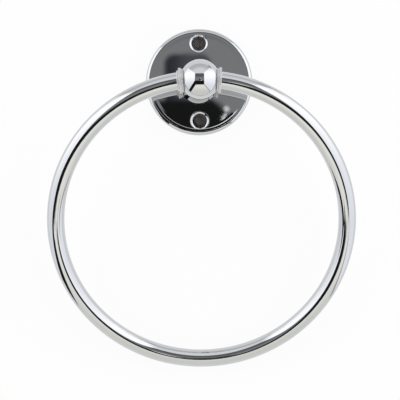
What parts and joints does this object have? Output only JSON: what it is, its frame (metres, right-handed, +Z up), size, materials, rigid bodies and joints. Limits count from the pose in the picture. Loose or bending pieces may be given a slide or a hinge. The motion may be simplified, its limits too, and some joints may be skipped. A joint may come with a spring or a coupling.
{
  "type": "towel ring",
  "caption": "Chrome towel ring: a round wall plate with countersunk screw holes, a post ending in a ball, and a bent rod ring that swings on the ball.",
  "frame": {"origin": "centre of the wall plate's back, on the wall's plane, midway between the two wall screw holes", "axes": "+Z up as hung, +Y into the wall, so the object stands out towards -Y; +X to the right as seen from the front, along the ring's pivot"},
  "size_m": [0.1578, 0.0572, 0.1746],
  "materials": {
    "polished_chrome": "polished",
    "satin_chrome": "satin",
    "zinc_plated_steel": "satin"
  },
  "bodies": {
    "fixed_side": {"wall_plate": "polished_chrome", "ball_post": "polished_chrome", "post_screw": "zinc_plated_steel"},
    "swinging_side": {"towel_ring": "polished_chrome", "collar_left": "satin_chrome", "collar_right": "satin_chrome"}
  },
  "joints": [
    {"name": "ring_swing", "type": "hinge", "parent": "fixed_side", "child": "swinging_side", "pos_m": [0, -0.047, 0], "axis": [-1, 0, 0], "range_deg": [0, 213]}
  ]
}
